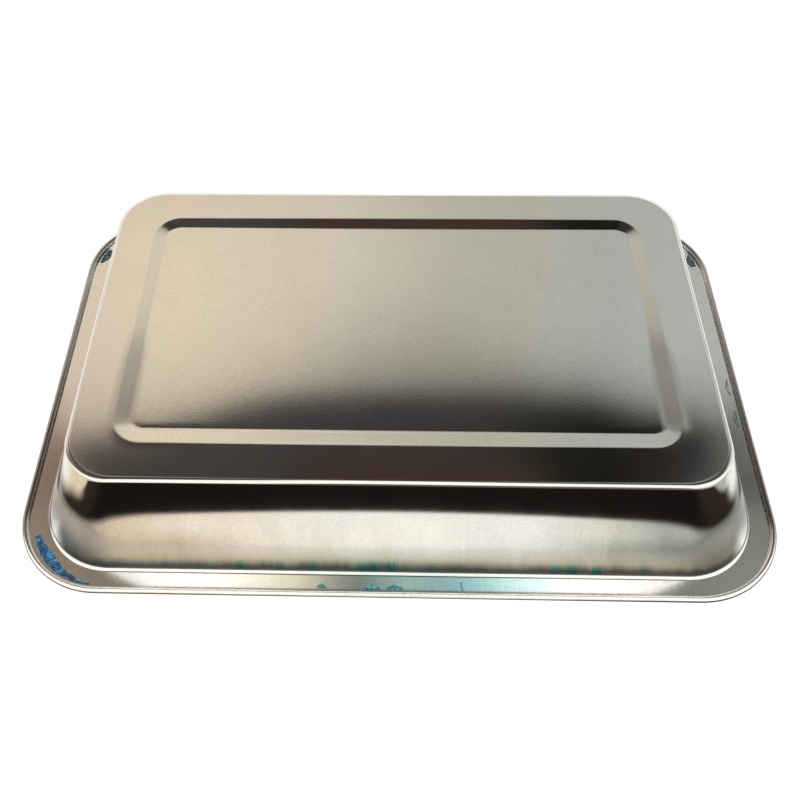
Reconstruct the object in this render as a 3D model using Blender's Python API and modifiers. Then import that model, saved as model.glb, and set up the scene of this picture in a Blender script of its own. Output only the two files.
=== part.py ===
"""Stainless steel paint roller tray: one pressed pan with a flat flange and a
rolled bead, the wire hoop inside the bead, and remnants of the sheet's blue
protective film under the flange.

Metres, +Z up. The tray stands on its base with its mouth up. The origin is on
the resting plane under the centre of the tray, X runs along its length and Y
across it. The front is -Y. An inset is a distance in plan, in from the outside
of the bead.
"""

import math

import bmesh
import bpy
from mathutils import Vector

MM = 0.001

# ---------------------------------------------------------------- dimensions
LENGTH = 0.4000            # over the bead, along X
WIDTH = 0.2694             # over the bead, along Y
HEIGHT = 0.0570            # resting plane to the top of the flange
SHEET = 0.0006             # sheet thickness

BEAD_OD = 0.0032           # outside diameter of the rolled bead
BEAD_TURN = 280.0          # degrees the sheet is rolled through
CREASE_INSET = 0.0137      # where flange and wall meet
WALL_LEAN = 0.0183         # how far the wall leans in from crease to base edge
RING_WIDTH = 0.0221        # flat ring that the tray rests on
STEP_RUN = 0.0082          # width of the sloping step up to the raised panel
STEP_RISE = 0.0010         # height of the panel above the ring

# where the bends lie
BEAD_CENTRE_INSET = BEAD_OD / 2
BEAD_CENTRE_Z = HEIGHT - BEAD_OD / 2
BASE_INSET = CREASE_INSET + WALL_LEAN
STEP_OUTER_INSET = BASE_INSET + RING_WIDTH
STEP_INNER_INSET = STEP_OUTER_INSET + STEP_RUN

# corner radii in plan
RIM_CORNER_R = 0.0471
CREASE_CORNER_R = 0.0380
BASE_CORNER_R = 0.0258
STEP_CORNER_R = 0.0160     # the step's outer edge

# bends in the section, on the middle of the sheet
CREASE_BEND_R = 0.0023
BASE_BEND_R = 0.0030
STEP_BEND_R = 0.0180       # both edges of the step

WIRE_R = 0.0007            # hoop of wire inside the bead
WIRE_BUTT_GAP = 0.0006     # gap between the two ends of the hoop

# facets
CORNER_STEPS = 8           # in each rounded corner in plan
BEAD_STEPS = 13
CREASE_STEPS = 4
BASE_STEPS = 5
STEP_BEND_STEPS = 2

# (inset, corner radius in plan)
CORNER_STATIONS = (
    (0.0, RIM_CORNER_R),
    (CREASE_INSET, CREASE_CORNER_R),
    (BASE_INSET, BASE_CORNER_R),
    (STEP_OUTER_INSET, STEP_CORNER_R),
    (STEP_INNER_INSET, STEP_CORNER_R - STEP_RUN),
)


# ------------------------------------------------------------------- helpers
def material(name, color, roughness, metallic, alpha=1.0):
    made = bpy.data.materials.new(name)
    made.use_nodes = True
    shader = made.node_tree.nodes["Principled BSDF"]
    shader.inputs["Base Color"].default_value = (*color, 1.0)
    shader.inputs["Roughness"].default_value = roughness
    shader.inputs["Metallic"].default_value = metallic
    shader.inputs["Alpha"].default_value = alpha
    made.diffuse_color = (*color, alpha)
    return made


def interpolate(stations, place):
    """Values at this place in a table of (place, value, ...) rows. Past the
    last row, its values hold."""
    for (low, *low_values), (high, *high_values) in zip(stations, stations[1:]):
        if place <= high:
            share = (place - low) / (high - low)
            return [a + (b - a) * share for a, b in zip(low_values, high_values)]
    return list(stations[-1][1:])


def outline(inset, z):
    """Rounded rectangle, counter-clockwise from the +X +Y corner."""
    (radius,) = interpolate(CORNER_STATIONS, inset)
    centre_x = LENGTH / 2 - inset - radius
    centre_y = WIDTH / 2 - inset - radius
    points = []
    for quarter, (side_x, side_y) in enumerate(((1, 1), (-1, 1), (-1, -1), (1, -1))):
        for i in range(CORNER_STEPS + 1):
            angle = math.radians(90.0 * (quarter + i / CORNER_STEPS))
            x = side_x * centre_x + radius * math.cos(angle)
            y = side_y * centre_y + radius * math.sin(angle)
            points.append(Vector((x, y, z)))
    return points


def fillet(before, corner, after, radius, steps):
    """Points along an arc of this radius that rounds the corner."""
    before, corner, after = Vector(before), Vector(corner), Vector(after)
    to_before = (before - corner).normalized()
    to_after = (after - corner).normalized()
    half_angle = to_before.angle(to_after) / 2
    centre = corner + (to_before + to_after).normalized() * radius / math.sin(half_angle)
    tangent = radius / math.tan(half_angle)
    start = corner + to_before * tangent - centre
    end = corner + to_after * tangent - centre
    # angle_signed is positive clockwise, the rotation below counter-clockwise
    turn = -start.angle_signed(end)
    arc = []
    for i in range(steps + 1):
        cos, sin = math.cos(turn * i / steps), math.sin(turn * i / steps)
        x = centre.x + start.x * cos - start.y * sin
        y = centre.y + start.x * sin + start.y * cos
        arc.append((x, y))
    return arc


def mesh_object(name, bm, mat, collection):
    """Smooth-shaded object from a bmesh, which is freed."""
    mesh = bpy.data.meshes.new(name)
    bm.to_mesh(mesh)
    bm.free()
    mesh.materials.append(mat)
    mesh.shade_smooth()
    mesh.set_sharp_from_angle(angle=math.radians(40))
    made = bpy.data.objects.new(name, mesh)
    collection.objects.link(made)
    return made


def solidify(obj, thickness, offset):
    """Gives an open sheet its thickness: offset 0 keeps the sheet in the
    middle, 1 grows it all along the normals."""
    thick = obj.modifiers.new("thickness", "SOLIDIFY")
    thick.thickness = thickness
    thick.offset = offset
    thick.use_even_offset = True
    thick.use_rim = True


# ----------------------------------------------------------------------- pan
def bead_section():
    """Middle of the sheet from the bead's hidden edge round to just short of
    its top, where the flange starts."""
    radius = BEAD_OD / 2 - SHEET / 2
    points = []
    for i in range(BEAD_STEPS):
        angle = math.radians(90.0 + BEAD_TURN * (1 - i / BEAD_STEPS))
        inset = BEAD_CENTRE_INSET + radius * math.cos(angle)
        points.append((inset, BEAD_CENTRE_Z + radius * math.sin(angle)))
    return points


def section():
    """Middle of the sheet as (inset, height), from the hidden edge of the bead
    round, over the flange and down the wall to the raised panel."""
    flange_z = HEIGHT - SHEET / 2
    ring_z = SHEET / 2
    panel_z = ring_z + STEP_RISE
    flange_start = (BEAD_CENTRE_INSET, flange_z)
    crease = (CREASE_INSET, flange_z)
    base_edge = (BASE_INSET, ring_z)
    step_outer = (STEP_OUTER_INSET, ring_z)
    step_inner = (STEP_INNER_INSET, panel_z)
    # only gives the panel's direction: any point farther in would do
    on_panel = (STEP_INNER_INSET + 0.01, panel_z)
    return [
        *bead_section(),
        flange_start,
        *fillet(flange_start, crease, base_edge, CREASE_BEND_R, CREASE_STEPS),
        *fillet(crease, base_edge, step_outer, BASE_BEND_R, BASE_STEPS),
        *fillet(base_edge, step_outer, step_inner, STEP_BEND_R, STEP_BEND_STEPS),
        *fillet(step_outer, step_inner, on_panel, STEP_BEND_R, STEP_BEND_STEPS),
    ]


def make_pan(collection, steel):
    """Loft between the rounded rectangles of the section: their corner radii
    change down the wall and across the base, so no single sweep gives them."""
    bm = bmesh.new()
    loops = [[bm.verts.new(point) for point in outline(inset, z)] for inset, z in section()]
    count = len(loops[0])
    for upper, lower in zip(loops, loops[1:]):
        for i in range(count):
            j = (i + 1) % count
            bm.faces.new((upper[i], upper[j], lower[j], lower[i]))
    bm.faces.new(loops[-1])  # the raised panel
    bmesh.ops.recalc_face_normals(bm, faces=bm.faces)
    pan = mesh_object("tray_pan", bm, steel, collection)
    solidify(pan, SHEET, offset=0.0)


# ---------------------------------------------------------------------- wire
def make_wire(collection, wire_steel):
    """Round wire bent to the rim's shape, its ends meeting in the middle of
    the +Y side."""
    loop = outline(BEAD_CENTRE_INSET, BEAD_CENTRE_Z)
    # the loop starts with the +X +Y corner, which the wire reaches last
    corner_points = CORNER_STEPS + 1
    back_y = WIDTH / 2 - BEAD_CENTRE_INSET
    path = [
        Vector((-WIRE_BUTT_GAP / 2, back_y, BEAD_CENTRE_Z)),
        *loop[corner_points:],
        *loop[:corner_points],
        Vector((WIRE_BUTT_GAP / 2, back_y, BEAD_CENTRE_Z)),
    ]
    curve = bpy.data.curves.new("rim_wire", "CURVE")
    curve.dimensions = "3D"
    curve.bevel_depth = WIRE_R
    curve.bevel_resolution = 2
    curve.use_fill_caps = True
    spline = curve.splines.new("POLY")
    spline.points.add(len(path) - 1)
    for point, position in zip(spline.points, path):
        point.co = (*position, 1.0)
    curve.materials.append(wire_steel)
    collection.objects.link(bpy.data.objects.new("rim_wire", curve))


# --------------------------------------------------------------------- films
FILM = 0.00015             # film thickness
FILM_GAP = 0.0003          # clearance between film and sheet
FILM_PITCH_MM = 4.0        # aimed-at length of a facet along the strip
FILM_MIN_STEPS = 3
TEAR_MM = 0.25             # most that the torn inner edge waves in and out
TEAR_HALF_WAVES = 9.0      # half waves of the torn edge along a strip
TEAR_FULL_WIDTH_MM = 2.0   # strips narrower than this wave less

# torn strips: (share of the length, outer edge, inner edge), edges as insets in mm
CORNER_STRIP = (
    (0.0, 4.9, 5.5),
    (0.25, 4.9, 7.2),
    (0.6, 4.9, 10.4),
    (0.85, 5.8, 9.8),
    (1.0, 6.2, 8.8),
)
FLAKE = ((0.0, 5.0, 5.6), (0.5, 4.9, 7.4), (1.0, 5.0, 5.8))
THREAD = ((0.0, 5.0, 9.4), (1.0, 5.0, 9.4))
PATCH = ((0.0, 5.0, 6.2), (0.4, 4.9, 9.6), (1.0, 5.2, 8.6))

# name, start and end in mm round the rim (see rim_point), strip, and lean: how
# far in mm the strip slews along the rim as it crosses the flange
FILMS = (
    ("film_corner", 157.5, 208.0, CORNER_STRIP, 0.0),
    ("film_front_1", 35.0, 40.0, FLAKE, 0.0),
    ("film_front_2", 8.0, 15.5, FLAKE, 0.0),
    ("film_front_3", -4.0, 4.5, FLAKE, 0.0),
    ("film_front_4", -34.4, -33.6, THREAD, 0.9),
    ("film_side_1", 939.0, 951.0, FLAKE, 0.0),
    ("film_side_2", 961.0, 973.0, FLAKE, 0.0),
    ("film_back_1", 410.0, 424.0, PATCH, 0.0),
    ("film_back_2", 836.0, 848.0, PATCH, 0.0),
)


def rim_point(along, inset):
    """Point in plan on the rim: along runs round it in metres from the middle
    of the -Y side towards +X."""
    centre_x, centre_y = LENGTH / 2 - RIM_CORNER_R, WIDTH / 2 - RIM_CORNER_R
    arc = math.pi / 2 * RIM_CORNER_R
    # each side is a straight and the corner that ends it: length of the
    # straight, centre of the corner, direction the straight faces in degrees
    sides = (
        (2 * centre_x, (centre_x, -centre_y), -90),
        (2 * centre_y, (centre_x, centre_y), 0),
        (2 * centre_x, (-centre_x, centre_y), 90),
        (2 * centre_y, (-centre_x, -centre_y), 180),
    )
    # measured from the -X end of the front straight
    along = (along + centre_x) % (4 * (centre_x + centre_y + arc))
    for straight, (corner_x, corner_y), facing in sides:
        if along <= straight + arc:
            break
        along -= straight + arc
    facing = math.radians(facing)
    to_corner = max(straight - along, 0.0)
    angle = facing + max(along - straight, 0.0) / RIM_CORNER_R
    reach = RIM_CORNER_R - inset
    return (
        corner_x + reach * math.cos(angle) + to_corner * math.sin(facing),
        corner_y + reach * math.sin(angle) - to_corner * math.cos(facing),
    )


def make_film(name, start, end, strip, lean, collection, film):
    """Torn strip of film lying under the flange."""
    steps = max(FILM_MIN_STEPS, round((end - start) / FILM_PITCH_MM))
    z = HEIGHT - SHEET - FILM_GAP
    bm = bmesh.new()
    rows = []
    for i in range(steps + 1):
        share = i / steps
        outer, inner = interpolate(strip, share)
        # the length of the name shifts the wave from film to film
        wave = math.sin(TEAR_HALF_WAVES * share * math.pi + len(name))
        torn = TEAR_MM * wave * min(1.0, (inner - outer) / TEAR_FULL_WIDTH_MM)
        row = []
        for k, inset in enumerate((outer, (outer + inner) / 2, inner + torn)):
            along = start + (end - start) * share + lean * k / 2
            row.append(bm.verts.new((*rim_point(along * MM, inset * MM), z)))
        rows.append(row)
    # faces look down, so the thickness grows away from the flange
    for this, following in zip(rows, rows[1:]):
        for k in range(2):
            bm.faces.new((this[k], this[k + 1], following[k + 1], following[k]))
    bm.normal_update()
    solidify(mesh_object(name, bm, film, collection), FILM, offset=1.0)


def main():
    for obj in list(bpy.data.objects):
        bpy.data.objects.remove(obj, do_unlink=True)
    tray = bpy.data.collections.new("paint_roller_tray")
    bpy.context.scene.collection.children.link(tray)

    steel = material(
        "pressed_stainless", color=(0.62, 0.60, 0.57), roughness=0.24, metallic=1.0
    )
    wire_steel = material("drawn_wire", color=(0.50, 0.50, 0.50), roughness=0.35, metallic=1.0)
    film = material(
        "blue_film", color=(0.02, 0.28, 0.62), roughness=0.25, metallic=0.0, alpha=0.75
    )

    make_pan(tray, steel)
    make_wire(tray, wire_steel)
    for entry in FILMS:
        make_film(*entry, collection=tray, film=film)


main()
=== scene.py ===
"""Looks of the stainless steel paint roller tray: fine meshes, materials, stage,
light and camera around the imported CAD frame. Metres, +Z up, the tray's mouth up.

The main camera looks at the tray's underside from below and in front, so the
tray appears lying mouth down. That view has its own surroundings (a white table
top level with the flange and a studio beyond it), and any camera above the
resting plane gets a pale floor under the tray and a soft studio instead.
"""

import math

import bmesh
import bpy
from mathutils import Matrix, Vector, noise


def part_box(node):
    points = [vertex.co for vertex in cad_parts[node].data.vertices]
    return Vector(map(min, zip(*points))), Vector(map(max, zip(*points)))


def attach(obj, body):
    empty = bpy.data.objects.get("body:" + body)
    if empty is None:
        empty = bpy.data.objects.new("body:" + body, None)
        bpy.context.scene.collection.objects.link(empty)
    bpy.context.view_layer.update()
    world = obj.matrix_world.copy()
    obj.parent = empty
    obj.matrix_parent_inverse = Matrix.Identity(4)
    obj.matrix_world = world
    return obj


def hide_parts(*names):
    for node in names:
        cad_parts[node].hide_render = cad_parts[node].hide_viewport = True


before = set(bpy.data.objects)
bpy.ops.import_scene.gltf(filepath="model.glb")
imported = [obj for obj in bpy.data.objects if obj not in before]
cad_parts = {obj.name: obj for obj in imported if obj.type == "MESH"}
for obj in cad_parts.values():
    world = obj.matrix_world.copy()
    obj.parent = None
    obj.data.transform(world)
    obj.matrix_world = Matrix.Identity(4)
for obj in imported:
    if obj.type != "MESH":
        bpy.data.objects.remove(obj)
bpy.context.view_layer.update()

# ------------------------------------------------------------ sizes (metres)
pan_lo, pan_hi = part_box("tray_pan")
LENGTH = pan_hi.x - pan_lo.x
WIDTH = pan_hi.y - pan_lo.y
HEIGHT = pan_hi.z
SHEET = 0.0006
RIM_CORNER_R = 0.0471
BEAD_OD = 0.0032
BEAD_TURN = 280.0
FLANGE_TO_CREASE = 0.0137
CREASE_R = 0.0023
CREASE_CORNER_R = 0.0380
WALL_INSET = 0.0183
BASE_CORNER_R = 0.0258
BASE_EDGE_R = 0.0030
RING_WIDTH = 0.0221
STEP_RUN = 0.0082
STEP_RISE = 0.0010
PANEL_CORNER_R = 0.0160
STEP_EDGE_R = 0.0180
WIRE_R = 0.0007
FILM = 0.00006
FILM_GAP = 0.0003

CORNER = 24   # facets in each rounded corner
LONG, SHORT = 44, 26  # facets along the straight sides

S_CREASE = FLANGE_TO_CREASE
S_BASE = S_CREASE + WALL_INSET
BEAD_RUN = (BEAD_OD - SHEET) / 2 * math.radians(BEAD_TURN)
S_OUT = S_BASE + RING_WIDTH
S_IN = S_OUT + STEP_RUN

scene = bpy.context.scene
looks = bpy.data.collections.new("looks")
scene.collection.children.link(looks)
stage = bpy.data.collections.new("stage")
scene.collection.children.link(stage)


# -------------------------------------------------------------- node algebra
class X:
    """A socket that takes part in arithmetic inside one node tree."""

    def __init__(self, tree, socket):
        self.tree, self.socket = tree, socket

    def _put(self, target, value):
        if isinstance(value, X):
            self.tree.links.new(value.socket, target)
        else:
            target.default_value = value

    def op(self, name, *rest, clamp=False):
        node = self.tree.nodes.new("ShaderNodeMath")
        node.operation = name
        node.use_clamp = clamp
        for target, value in zip(node.inputs, (self, *rest)):
            self._put(target, value)
        return X(self.tree, node.outputs[0])

    def __add__(self, o):
        return self.op("ADD", o)

    __radd__ = __add__

    def __sub__(self, o):
        return self.op("SUBTRACT", o)

    def __rsub__(self, o):
        return (self * -1.0) + o

    def __mul__(self, o):
        return self.op("MULTIPLY", o)

    __rmul__ = __mul__

    def __truediv__(self, o):
        return self.op("DIVIDE", o)

    def __neg__(self):
        return self * -1.0

    def abs(self):
        return self.op("ABSOLUTE")

    def min(self, o):
        return self.op("MINIMUM", o)

    def max(self, o):
        return self.op("MAXIMUM", o)

    def step(self, a, b):
        """0 below a, 1 above b, smooth between them."""
        node = self.tree.nodes.new("ShaderNodeMapRange")
        node.interpolation_type = "SMOOTHSTEP"
        self._put(node.inputs["Value"], self)
        self._put(node.inputs["From Min"], a)
        self._put(node.inputs["From Max"], b)
        return X(self.tree, node.outputs[0])

    def window(self, a0, a1, b0, b1):
        return self.step(a0, a1) * (1.0 - self.step(b0, b1))

    def curve(self, points):
        """Smooth curve through (x, y) points, held flat beyond the ends."""
        (x0, x1) = points[0][0], points[-1][0]
        y0, y1 = min(p[1] for p in points), max(p[1] for p in points)
        span = (y1 - y0) or 1.0
        unit = ((self - x0) / (x1 - x0)).op("ADD", 0.0, clamp=True)
        node = self.tree.nodes.new("ShaderNodeFloatCurve")
        mapped = node.mapping.curves[0]
        unit_points = [((x - x0) / (x1 - x0), (y - y0) / span) for x, y in points]
        mapped.points[0].location = unit_points[0]
        mapped.points[1].location = unit_points[-1]
        for p in unit_points[1:-1]:
            mapped.points.new(*p)
        for p in mapped.points:
            p.handle_type = "AUTO_CLAMPED"
        node.mapping.update()
        self._put(node.inputs["Value"], unit)
        return X(self.tree, node.outputs[0]) * span + y0

    def ramp(self, stops, gain=1.0):
        """Colour ramp through (x, (r, g, b)) stops; colours may go up to gain."""
        x0, x1 = stops[0][0], stops[-1][0]
        unit = ((self - x0) / (x1 - x0)).op("ADD", 0.0, clamp=True)
        node = self.tree.nodes.new("ShaderNodeValToRGB")
        ramp = node.color_ramp
        ramp.interpolation = "LINEAR"
        while len(ramp.elements) < len(stops):
            ramp.elements.new(0.5)
        for e, (x, c) in zip(ramp.elements, stops):
            e.position = (x - x0) / (x1 - x0)
        for e, (x, c) in zip(ramp.elements, stops):
            e.color = (c[0] / gain, c[1] / gain, c[2] / gain, 1.0)
        self._put(node.inputs["Fac"], unit)
        return C(self.tree, node.outputs["Color"]) * gain


class C(X):
    """A colour or vector socket."""

    def vop(self, name, *rest):
        node = self.tree.nodes.new("ShaderNodeVectorMath")
        node.operation = name
        self._put(node.inputs[0], self)
        for target, value in zip(node.inputs[1:], rest):
            if isinstance(value, (int, float)):
                value = (value,) * 3
            self._put(target, value)
        return C(self.tree, node.outputs[0])

    def __mul__(self, o):
        if isinstance(o, C) or isinstance(o, tuple):
            return self.vop("MULTIPLY", o)
        node = self.tree.nodes.new("ShaderNodeVectorMath")
        node.operation = "SCALE"
        self._put(node.inputs[0], self)
        self._put(node.inputs["Scale"], o)
        return C(self.tree, node.outputs[0])

    __rmul__ = __mul__

    def __add__(self, o):
        return self.vop("ADD", o)

    def parts(self):
        node = self.tree.nodes.new("ShaderNodeSeparateXYZ")
        self._put(node.inputs[0], self)
        return tuple(X(self.tree, s) for s in node.outputs)


class Graph:
    def __init__(self, tree):
        self.tree = tree

    def node(self, kind, **settings):
        made = self.tree.nodes.new(kind)
        for key, value in settings.items():
            setattr(made, key, value)
        return made

    def link(self, a, b):
        self.tree.links.new(a.socket if isinstance(a, X) else a, b)

    def put(self, target, value):
        if isinstance(value, X):
            self.tree.links.new(value.socket, target)
        else:
            target.default_value = value

    def color(self, r, g, b):
        made = self.node("ShaderNodeCombineXYZ")
        for target, value in zip(made.inputs, (r, g, b)):
            self.put(target, value)
        return C(self.tree, made.outputs[0])

    def mix(self, fac, a, b):
        made = self.node("ShaderNodeMix", data_type="RGBA", clamp_factor=True)
        self.put(made.inputs[0], fac)
        for target, value in ((made.inputs[6], a), (made.inputs[7], b)):
            if isinstance(value, tuple):
                value = (*value, 1.0) if len(value) == 3 else value
            self.put(target, value)
        return C(self.tree, made.outputs[2])

    def mixf(self, fac, a, b):
        made = self.node("ShaderNodeMix", data_type="FLOAT", clamp_factor=True)
        self.put(made.inputs[0], fac)
        self.put(made.inputs[2], a)
        self.put(made.inputs[3], b)
        return X(self.tree, made.outputs[0])

    def noise(self, vector, scale, detail=2.0, rough=0.5, lacunarity=2.0, distortion=0.0):
        made = self.node("ShaderNodeTexNoise", noise_dimensions="3D")
        self.put(made.inputs["Vector"], vector)
        made.inputs["Scale"].default_value = scale
        made.inputs["Detail"].default_value = detail
        made.inputs["Roughness"].default_value = rough
        made.inputs["Lacunarity"].default_value = lacunarity
        made.inputs["Distortion"].default_value = distortion
        return X(self.tree, made.outputs[0])

    def voronoi(self, vector, scale, feature="F1", randomness=1.0):
        made = self.node("ShaderNodeTexVoronoi", feature=feature)
        self.put(made.inputs["Vector"], vector)
        made.inputs["Scale"].default_value = scale
        made.inputs["Randomness"].default_value = randomness
        return X(self.tree, made.outputs[0])

    def attribute(self, name, vector=False):
        made = self.node("ShaderNodeAttribute", attribute_name=name)
        return C(self.tree, made.outputs["Vector"]) if vector else X(self.tree, made.outputs["Fac"])

    def bump(self, height, distance, strength=1.0, normal=None):
        made = self.node("ShaderNodeBump")
        self.put(made.inputs["Height"], height)
        made.inputs["Distance"].default_value = distance
        self.put(made.inputs["Strength"], strength)
        if normal is not None:
            self.put(made.inputs["Normal"], normal)
        return C(self.tree, made.outputs[0])


# -------------------------------------------------------------------- camera
# The viewpoint is worked out with the tray mouth down (turned half a turn about
# Y, the flange's plane at height 0), then turned into the tray's own frame.
AZ, EL, ROLL = 0.0453, 0.7913, -0.0271
TARGET = Vector((-0.026394, 0.128715, 0.0))
DISTANCE = 0.733930
FOCAL = 1085.27  # for an 800 wide image
CENTRE = (356.65, 227.82)


def turned(v):
    return Vector((-v.x, v.y, -v.z))


back = Vector((math.sin(AZ) * math.cos(EL), -math.cos(AZ) * math.cos(EL), math.sin(EL)))
right = Vector((0, 0, 1)).cross(back).normalized()
up = back.cross(right)
right, up = math.cos(ROLL) * right + math.sin(ROLL) * up, -math.sin(ROLL) * right + math.cos(ROLL) * up
eye = TARGET + back * DISTANCE

cam_data = bpy.data.cameras.new("camera")
cam_data.sensor_width = 36.0
cam_data.lens = FOCAL * 36.0 / 800.0
cam_data.clip_start, cam_data.clip_end = 0.01, 50.0
camera = bpy.data.objects.new("camera", cam_data)
stage.objects.link(camera)
axes = Matrix((turned(right), turned(up), turned(back))).transposed()
camera.matrix_world = Matrix.Translation(turned(eye) + Vector((0, 0, HEIGHT))) @ axes.to_4x4()
scene.camera = camera


def drive(owner, path, below, above, index=-1):
    """Gives a property one value for a camera below the resting plane and
    another for a camera above it."""
    driver = (owner.driver_add(path) if index < 0 else owner.driver_add(path, index)).driver
    driver.type = "SCRIPTED"
    height = driver.variables.new()
    height.name = "z"
    height.type = "TRANSFORMS"
    height.targets[0].id = camera
    height.targets[0].transform_type = "LOC_Z"
    height.targets[0].transform_space = "WORLD_SPACE"
    driver.expression = f"{below} if z < 0 else {above}"


drive(cam_data, "shift_x", round((400 - CENTRE[0]) / 800, 6), 0)
drive(cam_data, "shift_y", round((CENTRE[1] - 400) / 800, 6), 0)


def below_switch(tree):
    """Value node: 1 for a camera below the resting plane, 0 above it."""
    made = tree.nodes.new("ShaderNodeValue")
    made.name = "camera_below"
    drive(tree, 'nodes["camera_below"].outputs[0].default_value', 1, 0)
    return X(tree, made.outputs[0])


# --------------------------------------------------------------------- world
def make_world():
    world = bpy.data.worlds.new("studio")
    scene.world = world
    world.use_nodes = True
    tree = world.node_tree
    tree.nodes.clear()
    g = Graph(tree)
    coords = g.node("ShaderNodeTexCoord")
    dx, dy, dz = C(tree, coords.outputs["Generated"]).parts()
    below = below_switch(tree)
    deg = 57.29578

    # ---- camera below: directions with the tray seen mouth down
    rx, ry, rz = dx * -1.0, dy, dz * -1.0
    el = rz.op("ARCSINE") * deg
    az = rx.op("ARCTAN2", ry) * deg
    front = rx.op("ARCTAN2", ry * -1.0) * deg  # 0 straight towards the viewer
    th = rz.op("ARCTAN2", ry) * deg
    path = g.node("ShaderNodeLightPath")
    seen = X(tree, path.outputs["Is Camera Ray"])
    once = 1.0 - X(tree, path.outputs["Ray Depth"]).step(2.4, 2.6)

    # the wall behind the tray, warm on the left and grey on the right
    backdrop = az.ramp(
        (
            (-26.0, (1.03, 0.865, 0.71)),
            (-20.0, (1.07, 0.93, 0.73)),
            (-15.0, (1.08, 0.95, 0.74)),
            (-8.0, (0.985, 0.885, 0.713)),
            (-4.0, (0.935, 0.862, 0.72)),
            (0.0, (0.827, 0.786, 0.667)),
            (4.0, (0.718, 0.695, 0.584)),
            (9.0, (0.665, 0.661, 0.565)),
            (16.0, (0.605, 0.645, 0.615)),
            (24.0, (0.64, 0.685, 0.655)),
        ),
        gain=1.2,
    )
    low_drop = (1.0 - el.step(41.0, 45.0)) * az.curve(((-20, 0.10), (-8, 0.15), (0, 0.13), (6, 0.04), (20, 0.0)))
    low_drop = low_drop + (1.0 - el.step(40.4, 42.4)) * az.curve(((-12, 0.0), (8, 0.12), (20, 0.13)))
    backdrop = backdrop * (1.0 - low_drop)
    # it darkens upwards: a long slope on the left, a short one on the right
    e_left = el - 53.8 + az.curve(((-30, 0.6), (-26, 0.25), (-21, -0.40), (-17, -0.45), (-12, -0.2), (-8, -0.05), (0, 0.0)))
    e_right = el - 53.0 + az.curve(((8, 0.0), (12, 0.0), (16, 0.30), (20, 0.32), (24, 0.85), (28, 1.1)))
    fall_far = e_left.curve(
        ((-6.2, 1.0), (-4.8, 0.98), (-3.8, 0.95), (-2.8, 0.90), (-1.8, 0.82), (-0.8, 0.67), (-0.3, 0.51), (0.1, 0.22), (0.4, 0.02), (0.7, 0.0))
    )
    fall_left = e_left.curve(
        ((-6.2, 1.0), (-4.8, 0.925), (-3.8, 0.86), (-2.8, 0.775), (-1.8, 0.665), (-0.8, 0.53), (-0.3, 0.455), (0.1, 0.24), (0.4, 0.03), (0.7, 0.0))
    )
    fall_right = e_right.curve(
        ((-3.2, 1.0), (-2.0, 0.91), (-1.5, 0.85), (-1.0, 0.75), (-0.5, 0.61), (0.0, 0.47), (0.45, 0.22), (0.85, 0.03), (1.3, 0.0))
    )
    fall_left = g.mixf(az.step(-10.0, -2.0), fall_far, fall_left)
    fall = g.mixf(az.step(1.0, 13.0), fall_left, fall_right)
    dark = az.ramp(
        (
            (-28.0, (0.112, 0.098, 0.090)),
            (-24.0, (0.082, 0.071, 0.068)),
            (-16.0, (0.078, 0.072, 0.070)),
            (-8.0, (0.064, 0.059, 0.063)),
            (0.0, (0.058, 0.057, 0.060)),
            (8.0, (0.054, 0.049, 0.052)),
            (12.0, (0.034, 0.034, 0.029)),
            (16.0, (0.020, 0.019, 0.015)),
            (20.0, (0.016, 0.015, 0.013)),
            (24.0, (0.028, 0.024, 0.021)),
            (28.0, (0.056, 0.054, 0.056)),
        ),
        gain=0.15,
    )
    brown = el.step(56.3, 57.9) * az.window(-13.0, -6.0, 12.0, 18.0)
    dark = g.mix(brown, dark, (0.074, 0.046, 0.034))
    dark = g.mix(el.step(59.0, 64.0), dark, (0.080, 0.072, 0.088))
    behind = g.mix(fall, dark, backdrop)
    white = (1.35, 1.33, 1.28)
    behind = g.mix(el.step(36.5, 39.5), white, behind)

    # to either side
    near_l = el.ramp(
        (
            (36.0, (1.30, 1.22, 1.12)),
            (40.0, (1.05, 0.88, 0.70)),
            (48.5, (0.98, 0.80, 0.62)),
            (51.3, (0.53, 0.40, 0.29)),
            (53.5, (0.38, 0.28, 0.22)),
            (55.5, (0.31, 0.21, 0.175)),
            (57.5, (0.31, 0.24, 0.19)),
            (60.0, (0.45, 0.385, 0.266)),
        ),
        gain=1.4,
    )
    near_r = el.ramp(
        (
            (36.0, (1.25, 1.27, 1.25)),
            (40.0, (0.66, 0.70, 0.67)),
            (49.0, (0.46, 0.50, 0.46)),
            (51.5, (0.26, 0.27, 0.25)),
            (54.8, (0.138, 0.142, 0.142)),
            (56.0, (0.21, 0.21, 0.20)),
            (57.4, (0.52, 0.56, 0.46)),
            (59.0, (0.47, 0.48, 0.42)),
            (60.5, (0.33, 0.40, 0.33)),
        ),
        gain=1.4,
    )
    far_l = el.ramp(
        (
            (0.0, (1.12, 1.03, 0.97)),
            (15.0, (1.04, 0.92, 0.86)),
            (30.0, (0.94, 0.81, 0.72)),
            (36.0, (0.70, 0.54, 0.46)),
            (42.0, (0.30, 0.23, 0.20)),
            (47.0, (0.13, 0.115, 0.11)),
            (75.0, (0.085, 0.075, 0.092)),
        ),
        gain=1.2,
    )
    far_l = far_l * g.mixf(el.step(35.0, 45.0), az.curve(((-95, 0.34), (-78, 0.34), (-66, 1.0))), 1.0)
    far_r = el.ramp(
        (
            (0.0, (0.77, 0.78, 0.78)),
            (18.0, (0.69, 0.69, 0.68)),
            (32.0, (0.62, 0.59, 0.58)),
            (39.0, (0.36, 0.33, 0.31)),
            (46.0, (0.14, 0.13, 0.125)),
            (60.0, (0.09, 0.09, 0.092)),
        ),
        gain=1.2,
    )
    far_r = far_r * g.mixf(el.step(35.0, 45.0), az.curve(((60, 1.0), (72, 1.45), (95, 1.55))), 1.0)
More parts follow.
